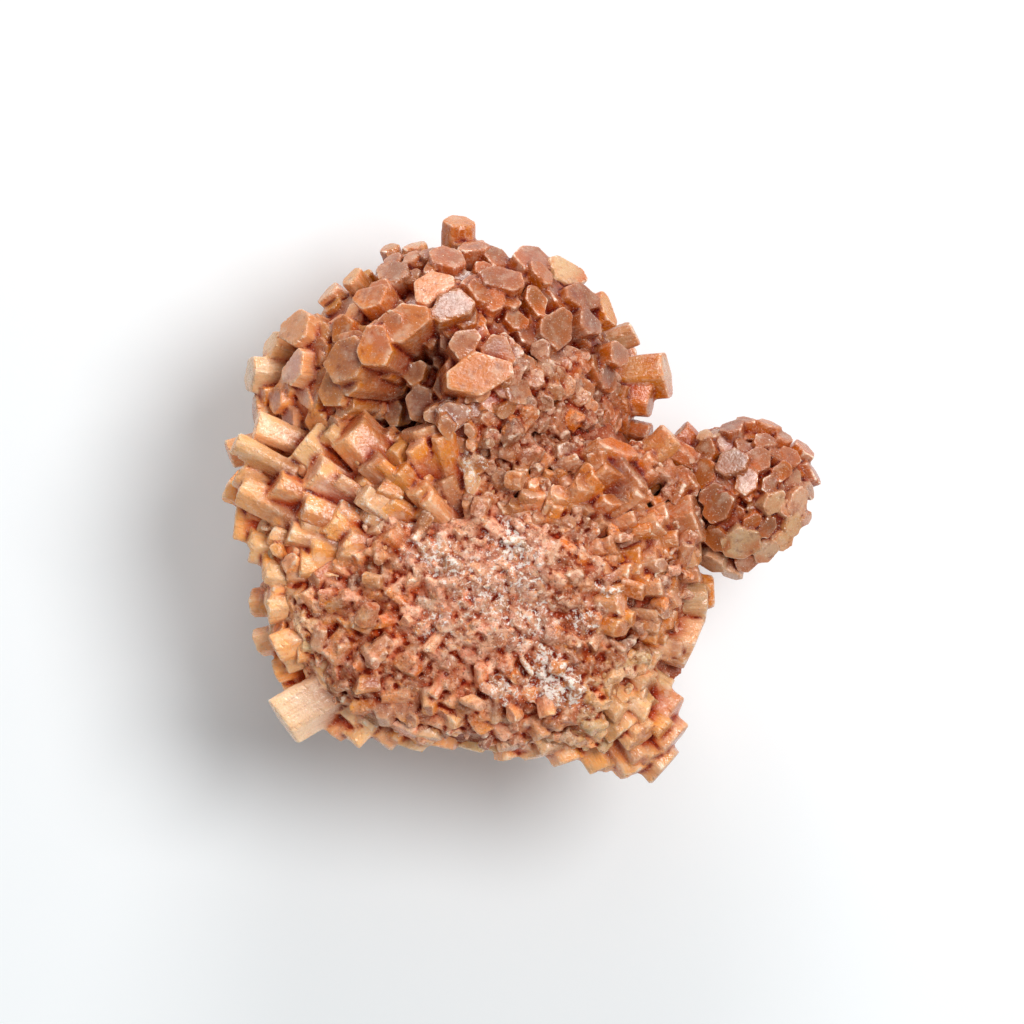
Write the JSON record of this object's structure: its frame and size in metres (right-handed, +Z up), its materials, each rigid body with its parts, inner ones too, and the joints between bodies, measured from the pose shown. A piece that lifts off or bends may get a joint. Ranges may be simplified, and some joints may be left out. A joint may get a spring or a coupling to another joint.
{
  "type": "aragonite star cluster",
  "caption": "Natural cluster of orange-brown six-sided aragonite crystals, radiating from a crown, a star with a worn heart and a round bud, grown together as one stone",
  "frame": {"origin": "middle of the footprint's box, on the table that the cluster rests on", "axes": "+X to the bud, +Y from the star to the crown, +Z up, which is the direction the picture is taken from"},
  "size_m": [0.0604, 0.0574, 0.0378],
  "materials": {
    "aragonite": "satin, translucent orange-brown crystal with pale ends and a sugary heart"
  },
  "bodies": {
    "root": {"aragonite_cluster": "aragonite"}
  },
  "joints": []
}
